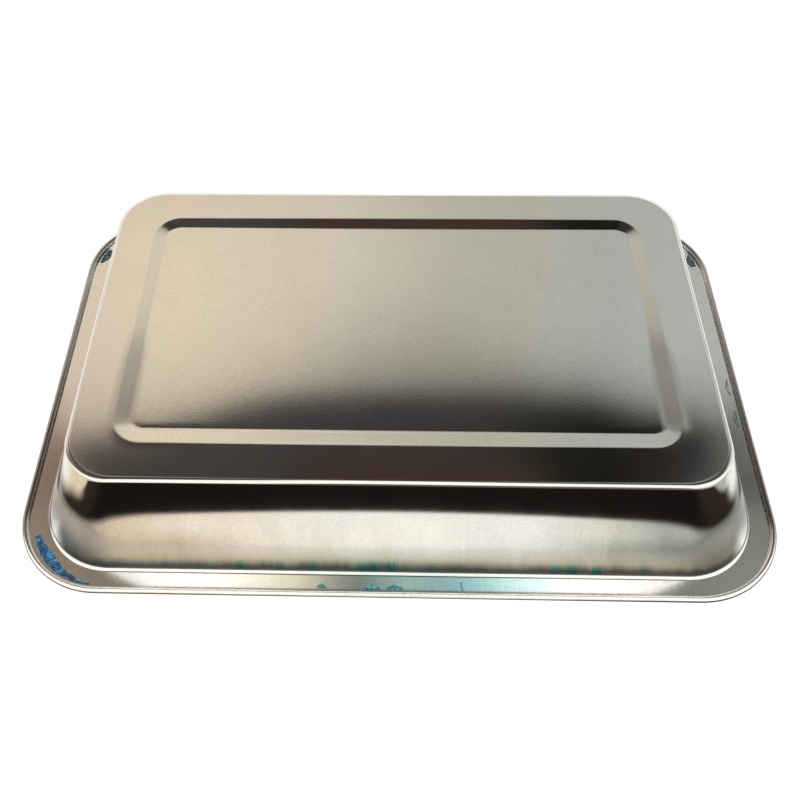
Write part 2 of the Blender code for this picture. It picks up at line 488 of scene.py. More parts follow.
    side_l = g.mix(az.step(-52.0, -38.0), far_l, near_l)
    side_r = g.mix(az.step(38.0, 52.0), near_r, far_r)
    side = g.mix(az.step(-5.0, 5.0), side_l, side_r)
    behind = g.mix(az.abs().step(26.5, 30.0), behind, side)

    # bright room on the viewer's side, above a low dark strip straight ahead
    limit = rx.curve(
        (
            (-1.0, 0.0), (-0.85, -0.22), (-0.7, -0.36), (-0.5, -0.46), (-0.33, -0.48), (-0.2, -0.42),
            (-0.12, -0.31), (0.0, -0.05), (0.06, -0.08), (0.14, -0.16), (0.22, -0.20), (0.33, -0.20), (0.5, -0.16),
            (0.7, -0.10), (0.9, 0.04), (1.0, 0.2),
        )
    )
    room = 1.0 - (ry - limit).step(-0.09, 0.09)
    middle = front.curve(
        ((-90, -40), (-60, -32), (-45, -20), (-30, -6), (-20, 4), (-12, 11), (-7, 16), (0, 35), (8, 33), (13, 33), (25, 20), (45, 4), (60, -8), (90, -35))
    )
    open_room = (el - middle).step(-10.0, 10.0)
    room_color = g.mix(front.step(-20.0, 40.0), (1.62, 1.56, 1.44), (1.48, 1.52, 1.45))
    room_low = g.mix(front.step(-10.0, 40.0), (0.10, 0.085, 0.06), (0.30, 0.33, 0.30))
    room_color = g.mix(open_room, room_low, room_color)
    sky_once = g.mix(room, behind, room_color)

    # what light that has met the steel twice comes from
    tinted = (rx * 100.0).ramp(
        (
            (-15.0, (2.3, 2.3, 2.25)),
            (-11.6, (1.85, 1.82, 1.60)),
            (-8.0, (1.41, 1.36, 1.06)),
            (-5.4, (0.74, 0.74, 0.64)),
            (-2.7, (0.33, 0.40, 0.39)),
            (0.0, (0.50, 0.76, 0.74)),
            (1.8, (0.62, 0.97, 0.96)),
            (3.6, (0.54, 0.84, 0.83)),
            (6.3, (0.56, 1.02, 1.15)),
            (9.8, (1.07, 1.68, 1.68)),
            (13.4, (1.8, 2.2, 2.3)),
            (15.0, (2.3, 2.3, 2.3)),
        ),
        gain=2.4,
    )
    overhead = g.mix(ry.window(0.02, 0.12, 0.24, 0.30), (2.3, 2.3, 2.25), tinted)
    sky_again = g.mix(th.step(77.5, 80.5), behind, overhead)
    sky_again = g.mix(th.step(145.0, 150.0), sky_again, (0.23, 0.225, 0.22))
    sky = g.mix(once, sky_again, sky_once)
    ground = g.mix(ry.step(-0.25, -0.05), (0.0145, 0.0105, 0.0088), white)
    photo = g.mix(rz.step(-0.004, 0.004), ground, sky)

    # ---- camera above: soft studio over a pale floor
    height = dz
    azimuth = dx.op("ARCTAN2", dy) * deg
    studio = height.curve(((-1.0, 0.25), (0.0, 0.30), (0.10, 0.42), (0.30, 0.62), (0.55, 0.72), (1.0, 0.80)))
    box_a = azimuth.window(-75.0, -62.0, -22.0, -8.0) * height.window(0.30, 0.38, 0.72, 0.80)
    box_b = azimuth.window(38.0, 48.0, 100.0, 112.0) * height.window(0.22, 0.32, 0.62, 0.70)
    box_c = (azimuth.abs()).step(128.0, 142.0) * height.window(0.42, 0.50, 0.82, 0.90)
    gap = azimuth.window(-8.0, 4.0, 24.0, 36.0) * height.window(0.06, 0.2, 0.75, 0.95)
    studio = studio + box_a * 0.64 + box_b * 0.5 + box_c * 0.62 - gap * 0.36
    warm = azimuth.window(-120.0, -60.0, 0.0, 60.0)
    studio_color = g.mix(warm, (0.97, 1.0, 1.03), (1.03, 1.0, 0.965)) * studio

    # ---- what each camera sees directly
    above_all = g.mix(seen, studio_color, (0.86, 0.865, 0.87))
    below_all = g.mix(seen, photo, (1.08, 1.08, 1.08))
    both = g.mix(below, above_all, below_all)
    shader = g.node("ShaderNodeBackground")
    g.link(both, shader.inputs["Color"])
    out = g.node("ShaderNodeOutputWorld")
    g.link(shader.outputs[0], out.inputs["Surface"])


make_world()


# --------------------------------------------------------------------- stage
def plane(name, x0, x1, y0, y1, z, flip=False):
    mesh = bpy.data.meshes.new(name)
    corners = [(x0, y0, z), (x1, y0, z), (x1, y1, z), (x0, y1, z)]
    if flip:
        corners.reverse()
    mesh.from_pydata(corners, [], [(0, 1, 2, 3)])
    made = bpy.data.objects.new(name, mesh)
    stage.objects.link(made)
    return made


def new_material(name):
    made = bpy.data.materials.new(name)
    made.use_nodes = True
    made.node_tree.nodes.clear()
    return made, Graph(made.node_tree)


def finish_material(g, shader):
    out = g.node("ShaderNodeOutputMaterial")
    g.link(shader, out.inputs["Surface"])


def make_floor():
    """Pale matte floor under the tray, there only for a camera above it."""
    floor = plane("floor", -3.0, 3.0, -3.0, 3.0, -0.0004)
    mat, g = new_material("floor")
    below = below_switch(g.tree)
    paint = g.node("ShaderNodeBsdfDiffuse")
    paint.inputs["Color"].default_value = (0.62, 0.62, 0.615, 1)
    clear = g.node("ShaderNodeBsdfTransparent")
    mixed = g.node("ShaderNodeMixShader")
    g.link(below, mixed.inputs[0])
    g.link(paint.outputs[0], mixed.inputs[1])
    g.link(clear.outputs[0], mixed.inputs[2])
    finish_material(g, mixed.outputs[0])
    floor.data.materials.append(mat)


def make_table():
    """White table top level with the flange, there only for a camera below.
    It glows rather than being lit: the steel sees painted light in a rounded
    patch round the tray and painted shade beyond, with light again far out to
    either side, and a soft painted contact shade round the bead."""
    table = plane("table", -2.5, 2.5, -0.50, 2.5, HEIGHT + 0.00015, flip=True)
    mat, g = new_material("table")
    below = below_switch(g.tree)
    geometry = g.node("ShaderNodeNewGeometry")
    px, py, pz = C(g.tree, geometry.outputs["Position"]).parts()
    x = px * -1000.0  # left of the mouth-down tray is negative
    y = py * 1000.0
    # painted light on the table, near the tray and further out
    near = x.ramp(
        (
            (-230.0, (0.80, 0.72, 0.64)),
            (-200.0, (0.74, 0.62, 0.54)),
            (-180.0, (0.62, 0.51, 0.43)),
            (-150.0, (0.85, 0.68, 0.46)),
            (-120.0, (0.79, 0.62, 0.40)),
            (-80.0, (1.21, 1.06, 0.89)),
            (-40.0, (1.24, 1.20, 0.96)),
            (0.0, (1.35, 1.34, 1.25)),
            (40.0, (1.32, 1.28, 1.20)),
            (80.0, (1.08, 1.14, 1.07)),
            (120.0, (0.50, 0.54, 0.45)),
            (150.0, (0.27, 0.30, 0.27)),
            (185.0, (0.36, 0.38, 0.35)),
            (205.0, (0.58, 0.60, 0.58)),
            (230.0, (0.70, 0.72, 0.70)),
        ),
        gain=1.6,
    )
    far = x.ramp(
        (
            (-230.0, (0.90, 0.80, 0.66)),
            (-200.0, (0.90, 0.76, 0.62)),
            (-170.0, (0.87, 0.74, 0.56)),
            (-150.0, (1.02, 0.91, 0.68)),
            (-120.0, (1.25, 1.12, 0.96)),
            (-80.0, (1.26, 1.17, 1.01)),
            (-40.0, (1.33, 1.30, 1.22)),
            (0.0, (1.37, 1.34, 1.25)),
            (40.0, (1.33, 1.31, 1.23)),
            (80.0, (1.29, 1.26, 1.22)),
            (120.0, (1.00, 1.02, 0.88)),
            (150.0, (0.60, 0.62, 0.58)),
            (185.0, (0.60, 0.61, 0.58)),
            (230.0, (0.80, 0.82, 0.80)),
        ),
        gain=1.6,
    )
    tone = g.mix(y.step(-176.0, -146.0), far, near)
    # distance outside the rim's rounded rectangle
    qx = x.abs() - (LENGTH / 2 - RIM_CORNER_R) * 1000.0
    qy = y.abs() - (WIDTH / 2 - RIM_CORNER_R) * 1000.0
    ox, oy = qx.max(0.0), qy.max(0.0)
    out = (ox * ox + oy * oy).op("SQRT") - RIM_CORNER_R * 1000.0
    shade = 0.06 + 0.94 * out.step(1.0, 9.0)
    # the lit patch: a rounded rectangle with a slightly bowed front
    bow = x * x * 0.00041
    cx = (x.abs() - 141.0).max(0.0)
    cy = (bow - 128.0 - y).max(0.0)
    edge = (cx * cx + cy * cy).op("SQRT") - 70.0
    soft = 2.6 + 7.0 * x.abs().step(110.0, 210.0)
    lit_patch = 1.0 - (edge / soft).step(-1.0, 1.0)
    # light again beyond it, on the left further forward than on the right
    reach = g.mixf(x.step(-5.0, 5.0), -152.0, -100.0) - (x.abs() - 240.0).max(0.0) * 3.5
    begin = 228.0 - 24.0 * y.step(-120.0, -60.0)
    beyond = (x.abs() - begin).step(-2.0, 18.0) * (y - reach).step(-16.0, 16.0)
    beyond_l = g.mix(y.step(-115.0, -70.0), (1.12, 0.94, 0.70), (1.30, 1.24, 1.16))
    beyond_r = g.mix(y.step(-115.0, -85.0), (0.62, 0.68, 0.58), (1.20, 1.26, 1.22))
    beyond_tone = g.mix(x.step(-5.0, 5.0), beyond_l, beyond_r)
    shadow = g.mix((x.abs() - 190.0).step(0.0, 40.0), (0.0145, 0.0105, 0.0100), (0.040, 0.028, 0.022))
    color = g.mix(lit_patch, shadow, tone * shade)
    color = g.mix(beyond, color, beyond_tone)
    lit = g.node("ShaderNodeEmission")
    g.link(color, lit.inputs["Color"])
    clear = g.node("ShaderNodeBsdfTransparent")
    path = g.node("ShaderNodeLightPath")
    shown = below * (1.0 - X(g.tree, path.outputs["Is Camera Ray"]))
    mixed = g.node("ShaderNodeMixShader")
    g.link(shown, mixed.inputs[0])
    g.link(clear.outputs[0], mixed.inputs[1])
    g.link(lit.outputs[0], mixed.inputs[2])
    finish_material(g, mixed.outputs[0])
    table.data.materials.append(mat)
    table.visible_shadow = False


def make_card():
    """White card bent over the front of the rim, there only for a camera below
    and only for light that leaves the bead upwards: it keeps the bead bright
    between the table and the room."""
    profile = ((-0.009, 0.0005), (-0.009, 0.020), (0.000, 0.027), (0.012, 0.027))
    mesh = bpy.data.meshes.new("card")
    loops = [outline(inset, HEIGHT - up) for inset, up in profile]
    keep = [i for i in range(len(loops[0])) if loops[0][i][1] < -0.082]
    points = [loop[i] for loop in loops for i in keep]
    n = len(keep)
    faces = []
    for row in range(len(profile) - 1):
        for i in range(n - 1):
            if keep[i + 1] == keep[i] + 1:
                faces.append((row * n + i, row * n + i + 1, (row + 1) * n + i + 1, (row + 1) * n + i))
    mesh.from_pydata(points, [], faces)
    card = bpy.data.objects.new("card", mesh)
    stage.objects.link(card)
    mat, g = new_material("card")
    below = below_switch(g.tree)
    geometry = g.node("ShaderNodeNewGeometry")
    px, py, pz = C(g.tree, geometry.outputs["Position"]).parts()
    ix, iy, iz = C(g.tree, geometry.outputs["Incoming"]).parts()
    # away from the table, which is up in the tray's frame, and not rearwards
    upward = iz.step(0.02, 0.10) * iy.step(-0.26, -0.12)
    tint = g.mix((px.abs() * 1000.0).step(20.0, 75.0), (1.35, 1.50, 1.46), (1.70, 1.68, 1.60))
    lit = g.node("ShaderNodeEmission")
    g.link(tint, lit.inputs["Color"])
    clear = g.node("ShaderNodeBsdfTransparent")
    mixed = g.node("ShaderNodeMixShader")
    g.link(below * upward, mixed.inputs[0])
    g.link(clear.outputs[0], mixed.inputs[1])
    g.link(lit.outputs[0], mixed.inputs[2])
    finish_material(g, mixed.outputs[0])
    card.data.materials.append(mat)
    card.visible_camera = False
    card.visible_shadow = False
    card.visible_diffuse = False


def make_lights():
    """Soft boxes over the floor, dark while the camera is below."""
    for name, place, size, energy, color in (
        ("key", (-0.55, -0.60, 0.85), 0.55, 6.0, (1.0, 0.985, 0.96)),
        ("fill", (0.75, 0.35, 0.70), 0.70, 2.6, (0.96, 0.98, 1.0)),
    ):
        data = bpy.data.lights.new(name, "AREA")
        data.shape = "SQUARE"
        data.size = size
        data.color = color
        light = bpy.data.objects.new(name, data)
        light.location = place
        light.rotation_mode = "QUATERNION"
        light.rotation_quaternion = (Vector((0, 0, 0.02)) - Vector(place)).to_track_quat("-Z", "Y")
        stage.objects.link(light)
        drive(data, "energy", 0, energy)


make_floor()
make_table()
make_lights()


# ------------------------------------------------------------------ geometry
def corner_radius(inset):
    stations = (
        (0.0, RIM_CORNER_R),
        (S_CREASE, CREASE_CORNER_R),
        (S_BASE, BASE_CORNER_R),
        (S_OUT, PANEL_CORNER_R),
        (S_IN, PANEL_CORNER_R - STEP_RUN),
        (WIDTH / 2, 0.0006),
    )
    for (s0, r0), (s1, r1) in zip(stations, stations[1:]):
        if inset <= s1:
            return r0 + (r1 - r0) * (inset - s0) / (s1 - s0)
    return stations[-1][1]


def outline(inset, z):
    """Rounded rectangle, counter-clockwise from the +X side's upper end."""
    half_x, half_y, r = LENGTH / 2 - inset, WIDTH / 2 - inset, corner_radius(inset)
    points = []
    for quarter, (sx, sy) in enumerate(((1, 1), (-1, 1), (-1, -1), (1, -1))):
        for i in range(CORNER + 1):
            a = math.radians(90.0 * (quarter + i / CORNER))
            points.append((sx * (half_x - r) + r * math.cos(a), sy * (half_y - r) + r * math.sin(a), z))
        nx, ny = ((-1, 1), (-1, -1), (1, -1), (1, 1))[quarter]
        last = points[-1]
        a = math.radians(90.0 * (quarter + 1))
        following = (nx * (half_x - r) + r * math.cos(a), ny * (half_y - r) + r * math.sin(a), z)
        count = LONG if quarter % 2 == 0 else SHORT
        for i in range(1, count):
            k = i / count
            points.append(tuple(p + (q - p) * k for p, q in zip(last, following)))
    return points


def arc_lengths(points):
    total, marks = 0.0, []
    for p, q in zip(points, points[1:] + points[:1]):
        marks.append(total)
        total += math.dist(p, q)
    return marks, total


def fillet(before, corner, after, radius, steps):
    before, corner, after = Vector(before), Vector(corner), Vector(after)
    u, v = (before - corner).normalized(), (after - corner).normalized()
    half = u.angle(v) / 2
    centre = corner + (u + v).normalized() * radius / math.sin(half)
    start = corner + u * radius / math.tan(half) - centre
    end = corner + v * radius / math.tan(half) - centre
    turn = start.angle_signed(end)
    arc = []
    for i in range(steps + 1):
        a = -turn * i / steps
        arc.append(
            (
                centre.x + start.x * math.cos(a) - start.y * math.sin(a),
                centre.y + start.x * math.sin(a) + start.y * math.cos(a),
            )
        )
    return arc


def divide(a, b, count, guard=0.0003):
    """Points strictly between a and b, with one close to each end."""
    a, b = Vector(a), Vector(b)
    length = (b - a).length
    marks = [guard / length] + [i / count for i in range(1, count)] + [1 - guard / length]
    return [tuple(a + (b - a) * k) for k in marks]


def section():
    """Middle of the sheet as (inset, height), finely divided, from the hidden
    edge of the bead to the middle of the raised panel."""
    mid = SHEET / 2
    r = BEAD_OD / 2 - mid
    bead = (BEAD_OD / 2, HEIGHT - BEAD_OD / 2)
    points = []
    turns = 46
    for i in range(turns + 1):
        a = math.radians(90.0 + BEAD_TURN * (1 - i / turns))
        points.append((bead[0] + r * math.cos(a), bead[1] + r * math.sin(a)))
    crease, base = (S_CREASE, HEIGHT - mid), (S_BASE, mid)
    step_out, step_in = (S_OUT, mid), (S_IN, mid + STEP_RISE)
    end = (WIDTH / 2 - 0.0012, mid + STEP_RISE)
    arcs = [
        fillet(points[-1], crease, base, CREASE_R, 12),
        fillet(crease, base, step_out, BASE_EDGE_R, 18),
        fillet(base, step_out, step_in, STEP_EDGE_R, 7),
        fillet(step_out, step_in, end, STEP_EDGE_R, 7),
    ]
    spans = (4, 16, 7, 2, 34)
    before = points[-1]
    for count, arc in zip(spans, arcs + [[end]]):
        points += divide(before, arc[0], count)
        points += arc
        before = arc[-1]
    return points


def sides(points, thickness):
    """The section's two faces, half a thickness either side of its middle."""
    outer, inner = [], []
    for i, p in enumerate(points):
        a, b = points[max(0, i - 1)], points[min(len(points) - 1, i + 1)]
        t = (Vector(b) - Vector(a)).normalized()
        n = Vector((t.y, -t.x))
        p = Vector(p)
        outer.append(tuple(p + n * thickness / 2))
        inner.append(tuple(p - n * thickness / 2))
    return outer, inner


def smooth(v, a, b):
    k = min(1.0, max(0.0, (v - a) / (b - a)))
    return k * k * (3 - 2 * k)


def step_ease(x, y):
    """How much less deep the panel is pressed near its short ends: most of all
    towards the front, not at all at the back."""
    share = 0.42 + 0.09 * (1 - smooth(y, -0.060, 0.010)) - 0.42 * smooth(y, 0.030, 0.078)
    return -STEP_RISE * share * smooth(abs(x), 0.030, 0.148)


def wave(x, y):
    """How far the sheet is out of true, in metres, smooth over a hand's width."""
    return 0.00002 * noise.noise(Vector((x * 11.0, y * 11.0, 3.7)))


def make_pan():
    middle = section()
    run = [0.0]
    for p, q in zip(middle, middle[1:]):
        run.append(run[-1] + math.dist(p, q))
    outer, inner = sides(middle, SHEET)
    profile = [(s, z, d, 0.0) for (s, z), d in zip(inner, run)][::-1]
    profile += [(s, z, d, 1.0) for (s, z), d in zip(outer, run)]
    # profile runs from the panel's inside, up the inside, round the bead's
    # hidden edge, and down the outside to the panel's underside
    reference, total = arc_lengths(outline(S_CREASE, 0.0))
    radius = total / (2 * math.pi)
    turn = [2 * math.pi * m / total for m in reference]
    bm = bmesh.new()
    flow = bm.verts.layers.float_vector.new("flow")
    down = bm.verts.layers.float.new("down")
    outside = bm.verts.layers.float.new("outside")
    loops = []
    for s, z, d, side in profile:
        loop = []
        for (x, y, zz), a in zip(outline(s, z), turn):
            lift = wave(x, y) if z < HEIGHT * 0.5 else 0.0
            if s > S_OUT - 0.003:
                lift += step_ease(x, y) * smooth(s, S_OUT - 0.003, S_IN + 0.003)
            v = bm.verts.new((x, y, zz + lift * max(0.0, 1 - z / (HEIGHT * 0.5))))
            v[flow] = (radius * math.cos(a), radius * math.sin(a), d)
            v[down] = d
            v[outside] = side
            loop.append(v)
        loops.append(loop)
    count = len(loops[0])
    for upper, lower in zip(loops, loops[1:]):
        for i in range(count):
            j = (i + 1) % count
            bm.faces.new((upper[i], upper[j], lower[j], lower[i]))
    for loop, flip in ((loops[0], True), (loops[-1], False)):
        close_middle(bm, loop, flip)
    bmesh.ops.recalc_face_normals(bm, faces=bm.faces)
    mesh = bpy.data.meshes.new("pan_fine")
    bm.to_mesh(mesh)
    bm.free()
    mesh.shade_smooth()
    made = bpy.data.objects.new("pan_fine", mesh)
    looks.objects.link(made)
    return made, run


def close_middle(bm, loop, flip):
    """Closes the slender last loop with a ladder between its long sides."""
    per = CORNER + 1
    # +Y side runs from the end of corner 0 to the start of corner 1
    top = list(range(CORNER, CORNER + LONG + 1))
    start = per + (LONG - 1) + per + (SHORT - 1)
    bottom = list(range(start + CORNER, start + CORNER + LONG + 1))
    top_v = [loop[i % len(loop)] for i in top]
    bottom_v = [loop[i % len(loop)] for i in bottom][::-1]
    for i in range(LONG):
        bm.faces.new((top_v[i], top_v[i + 1], bottom_v[i + 1], bottom_v[i]))
    # the two ends
    n = len(loop)
    right_end = [loop[i % n] for i in range(bottom[-1], n + CORNER + 1)]
    left_end = [loop[i] for i in range(top[-1], bottom[0] + 1)]
    bm.faces.new(right_end)
    bm.faces.new(left_end)


make_card()
pan, pan_run = make_pan()
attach(pan, "root")
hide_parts("tray_pan")
print("pan", len(pan.data.vertices), "vertices", [round(r * 1000, 2) for r in (pan_run[46], pan_run[-1])])


# ----------------------------------------------------------------- materials
def steel_material():
    mat, g = new_material("stainless_steel")
    shader = g.node("ShaderNodeBsdfPrincipled")
    coords = g.node("ShaderNodeTexCoord")
    here = C(g.tree, coords.outputs["Object"])
    px, py, pz = here.parts()
    flow = g.attribute("flow", vector=True)
    fx, fy, fz = flow.parts()
    down = g.attribute("down")
    outside = g.attribute("outside")

    z = pz * 1000.0
    wall = z.window(3.0, 8.0, 52.0, 55.5)
    floor_zone = 1.0 - z.step(1.5, 4.5)
    rim = z.step(53.0, 56.0)
    rim_inset = (down * 1000.0)
    bead = 1.0 - rim_inset.step(BEAD_RUN * 1000.0 + 0.1, BEAD_RUN * 1000.0 + 0.7)

    # fine satin grain of the sheet on base and flange
    grain_at = here * (0.7, 1.0, 1.0)
    grain = g.noise(grain_at, 2300.0, 3.0, 0.6)
    grain2 = g.noise(grain_at, 800.0, 2.0, 0.5)
    mottle = g.noise(here, 45.0, 3.0, 0.55)
    # drawing streaks: lines that run down the walls
    streak_at = g.color(fx, fy, fz * 0.035)
    streak = g.noise(streak_at, 900.0, 4.0, 0.6)
    streak_wide = g.noise(streak_at, 150.0, 3.0, 0.6)

    # the foot of the wall, seen from outside: painted shade that darkens into the fold, with heat tints and stains in
    # it
    path = g.node("ShaderNodeLightPath")
    first = X(g.tree, path.outputs["Is Camera Ray"])
    again = below_switch(g.tree) * (1.0 - first)
    x_mm = px * -1000.0
    y_mm = py * 1000.0
    middle = 1.0 - x_mm.abs().step(46.0, 80.0)
    rise = (HEIGHT - SHEET) * 1000.0 - z
    stain = g.noise(g.color(fx, fy, 0.0), 95.0, 3.0, 0.65)
    uneven = rise + (stain - 0.5) * 3.0 + (streak_wide - 0.5) * 3.0
    foot_shade_and_stain = uneven.ramp(
        (
            (1.0, (0.13, 0.13, 0.14)),
            (3.0, (0.13, 0.135, 0.14)),
            (4.0, (0.20, 0.22, 0.21)),
            (5.2, (0.42, 0.44, 0.38)),
            (6.6, (0.68, 0.66, 0.54)),
            (8.0, (0.88, 0.85, 0.70)),
            (10.5, (0.97, 0.95, 0.86)),
            (13.5, (1.0, 1.0, 1.0)),
        )
    )
    spots = x_mm.curve(
        (
            (-104, 0.0), (-94, 0.7), (-88, 0.1), (-80, 0.9), (-72, 0.15), (-60, 0.8), (-53, 0.25), (-44, 1.0),
            (-33, 0.3), (-20, 0.7), (-14, 1.0), (-2, 1.0), (5, 0.1), (12, 0.1), (17, 0.8), (24, 0.05),
            (68, 0.05), (79, 0.8), (90, 1.0), (97, 0.3), (103, 0.9), (109, 0.0),
        )
    )
    teal = (spots * 0.42 + streak_wide * 0.8).step(0.68, 0.82) * (1.0 - uneven.step(5.0, 8.5)) * (1.0 - y_mm.step(-110.0, -60.0))
    foot_shade_and_stain = foot_shade_and_stain * g.mix(teal, (1.0, 1.0, 1.0), (0.26, 0.90, 0.92))
    # where the painted foot shade goes: outside, up to about 14 mm above the fold
    foot_shade_zone = outside * rise.step(0.9, 1.5) * (1.0 - rise.step(12.0, 14.0))
    foot_shade_zone = foot_shade_zone * (first + (1.0 - first) * middle).min(1.0)
    ends = (x_mm.abs().step(140.0, 165.0) + y_mm.step(-90.0, -60.0)).min(1.0)
    soften = outside * first * rise.step(0.9, 1.6) * (1.0 - (rise - 11.0 * ends).step(13.0, 23.0))
    # the flange is duller round its front corners
    corners = rim * first * outside * x_mm.abs().step(108.0, 150.0) * (1.0 - y_mm.step(-95.0, -60.0)) * (1.0 - bead)

    rough = 0.055 + 0.02 * (mottle - 0.5)
    rough = rough + wall * (0.05 * (streak_wide - 0.45).max(0.0))
    # the short steps round the panel are blunt towards the front
    blunt = floor_zone * outside * first * x_mm.abs().window(133.0, 138.0, 146.0, 151.0) * y_mm.window(-73.0, -66.0, -36.0, 6.0)
    rough = rough + bead * 0.06 + (soften * 0.30).max(corners * 0.12).max(blunt * 0.20)
    g.put(shader.inputs["Roughness"], rough)

    tone = g.mix(mottle.step(0.3, 0.7), (0.645, 0.625, 0.595), (0.662, 0.645, 0.615))
    tone = tone * (0.965 + 0.07 * grain2.step(0.3, 0.7))
    patch = g.noise(g.color(fx, fy, fz * 0.4), 60.0, 4.0, 0.65)
    lower = wall * (1.0 - rise.step(28.0, 40.0))
    tone = tone * (1.0 + lower * (0.05 - 0.09 * patch.step(0.42, 0.66) - 0.10 * (streak - 0.5)))
    # painted shade and heat tints at the foot of the wall
    tone = tone * g.mix(foot_shade_zone, (1.0, 1.0, 1.0), foot_shade_and_stain)
    # the corners: painted shade, dark at the foot; a painted highlight, bright where they turn to the short walls
    painted_corner_shade = outside * first * x_mm.abs().step(138.0, 162.0) * (1.0 - y_mm.step(-104.0, -88.0)) * rise.step(0.9, 1.6)
    tone = tone * (1.0 - painted_corner_shade * 0.52 * (1.0 - (rise + (patch - 0.5) * 10.0).step(7.0, 25.0)))
    # painted highlight: a bright strip along the foot of the short walls, seen by the camera only
    painted_side_highlight = outside * first * rise.step(0.9, 2.5) * x_mm.abs().step(171.0, 181.0) * y_mm.step(-122.0, -96.0)
    tone = g.mix(painted_side_highlight, tone, (0.98, 0.98, 0.97))
    speckle = g.noise(here, 420.0, 4.0, 0.7)
    # the bead along the short sides is made much darker in colour, unevenly
    darker_side_bead = bead * x_mm.abs().step(188.0, 196.5) * y_mm.step(-108.0, -84.0)
    worn = bead * speckle.step(0.56, 0.68)
    tone = g.mix(worn * 0.4, tone, (0.40, 0.38, 0.36))
    tone = g.mix(darker_side_bead * (0.62 + 0.25 * (speckle - 0.5)), tone, (0.17, 0.15, 0.155))
    # painted reflection: only where it is seen again in the short walls is the flange beside them made bright and
    # neutral
    painted_flange_reflection = again * rim * (1.0 - rise.step(0.8, 2.0)) * x_mm.abs().step(168.0, 178.0) * y_mm.step(-112.0, -92.0)
    tone = g.mix(painted_flange_reflection, tone, (0.90, 0.97, 1.0))
    g.link(tone, shader.inputs["Base Color"])
    shader.inputs["Metallic"].default_value = 1.0

    height = grain * 0.6 + grain2 * 0.4
    n1 = g.bump(height, 0.000007, (floor_zone + rim * 0.6).min(1.0))
    n2 = g.bump(streak * 0.5 + streak_wide * 0.8, 0.000012, wall, normal=n1)
    n3 = g.bump(speckle, 0.00003, bead * 0.5, normal=n2)
    g.link(n3, shader.inputs["Normal"])
    finish_material(g, shader.outputs[0])
    return mat


def wire_material():
    mat, g = new_material("drawn_wire")
    shader = g.node("ShaderNodeBsdfPrincipled")
    coords = g.node("ShaderNodeTexCoord")
    here = C(g.tree, coords.outputs["Object"])
    n = g.noise(here, 1800.0, 4.0, 0.6)
    tone = g.mix(n, (0.42, 0.42, 0.42), (0.58, 0.57, 0.56))
    g.link(tone, shader.inputs["Base Color"])
    shader.inputs["Metallic"].default_value = 1.0
    g.put(shader.inputs["Roughness"], 0.28 + n * 0.2)
    g.link(g.bump(n, 0.00002), shader.inputs["Normal"])
    finish_material(g, shader.outputs[0])
    return mat


def film_material(name, deep, mid, bright, cover, fill=1.0):
    """Thin crinkled film: deep colour where it is gathered, bright where it is
    stretched, pale on the creases, and letting some of the steel through."""
    mat, g = new_material(name)
    shader = g.node("ShaderNodeBsdfPrincipled")
    coords = g.node("ShaderNodeTexCoord")
    here = C(g.tree, coords.outputs["Object"])
    crinkle = g.noise(here, 330.0, 4.0, 0.7, distortion=0.8)
    broad = g.noise(here, 120.0, 2.0, 0.5)
    fold = g.voronoi(here, 380.0, feature="F1")
    tone = g.mix(crinkle.step(0.34, 0.56), deep, mid)
    tone = g.mix((crinkle * 0.6 + broad * 0.4).step(0.50, 0.64), tone, bright)
    pale = fold.step(0.62, 0.95) * crinkle.step(0.50, 0.60)
    tone = g.mix(pale * 0.8, tone, (0.75, 0.90, 0.96))
    g.link(tone, shader.inputs["Base Color"])
    shader.inputs["Metallic"].default_value = 0.0
    shader.inputs["IOR"].default_value = 1.5
    g.put(shader.inputs["Roughness"], 0.14 + crinkle * 0.12)
    g.put(shader.inputs["Alpha"], cover + (fill - cover) * (crinkle * 0.5 + broad * 0.5).step(0.42, 0.58))
    g.link(g.bump(crinkle * 0.6 + fold * 0.5, 0.0012, 0.8), shader.inputs["Normal"])
    finish_material(g, shader.outputs[0])
    return mat


steel = steel_material()
wire_steel = wire_material()
blue_film = film_material("blue_film", (0.002, 0.045, 0.13), (0.004, 0.14, 0.36), (0.02, 0.34, 0.66), 0.62)
cyan_film = film_material("cyan_film", (0.02, 0.22, 0.30), (0.06, 0.42, 0.52), (0.20, 0.66, 0.74), 0.30)
teal_film = film_material("teal_film", (0.008, 0.055, 0.062), (0.018, 0.11, 0.12), (0.05, 0.24, 0.27), 0.40, 0.9)
faint_film = film_material("faint_film", (0.05, 0.13, 0.13), (0.11, 0.24, 0.24), (0.24, 0.42, 0.42), 0.05, 0.55)
pan.data.materials.append(steel)


